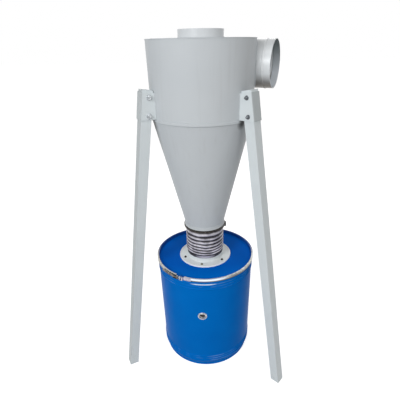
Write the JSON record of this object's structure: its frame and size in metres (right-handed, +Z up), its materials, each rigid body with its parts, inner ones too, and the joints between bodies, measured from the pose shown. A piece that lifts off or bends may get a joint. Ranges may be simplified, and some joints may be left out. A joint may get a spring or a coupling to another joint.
{
  "type": "cyclone separator",
  "caption": "Sheet-metal cyclone separator with a tangential inlet and top outlet, on splayed legs, emptying through a short ribbed hose into a blue lever-ring drum.",
  "frame": {"origin": "on the cyclone's axis at floor level", "axes": "+Z up along the cyclone's axis, -Y towards the front with the drum's bung"},
  "size_m": [0.7326, 0.7475, 1.38],
  "materials": {
    "body_paint": "satin light grey paint on sheet steel",
    "frame_paint": "satin light grey paint on steel tube",
    "hose_plastic": "ribbed grey plastic hose",
    "clamp_steel": "dull steel band",
    "drum_paint": "glossy blue enamel on drum steel",
    "flange_paint": "satin white-grey paint",
    "zinc_steel": "bright galvanised steel",
    "bung_zinc": "zinc-plated pressing"
  },
  "bodies": {
    "plant": {"barrel_wall": "body_paint", "bung_flange": "bung_zinc", "bung_plug": "bung_zinc", "clamp_link": "zinc_steel", "clamp_pin": "zinc_steel", "clamp_ring": "zinc_steel", "cone_collar": "body_paint", "cone_spigot": "body_paint", "cone_wall": "body_paint", "drum_base": "drum_paint", "drum_lid": "drum_paint", "drum_shell": "drum_paint", "hose": "hose_plastic", "hose_clamp_bottom": "clamp_steel", "hose_clamp_top": "clamp_steel", "inlet_duct": "body_paint", "joint_ring": "body_paint", "leg_bracket_left": "frame_paint", "leg_bracket_rear": "frame_paint", "leg_bracket_right": "frame_paint", "leg_left": "frame_paint", "leg_rear": "frame_paint", "leg_right": "frame_paint", "lid_flange": "flange_paint", "lid_spigot": "flange_paint", "outlet_pipe": "body_paint", "ring_lug_left": "zinc_steel", "ring_lug_right": "zinc_steel", "roof_plate": "body_paint"},
    "lever": {"clamp_lever": "zinc_steel"}
  },
  "joints": [
    {"name": "lever_swing", "type": "hinge", "parent": "plant", "child": "lever", "pos_m": [-0.11497, -0.18909, 0.513], "axis": [0, 0, 1], "range_deg": [0, 115]}
  ]
}
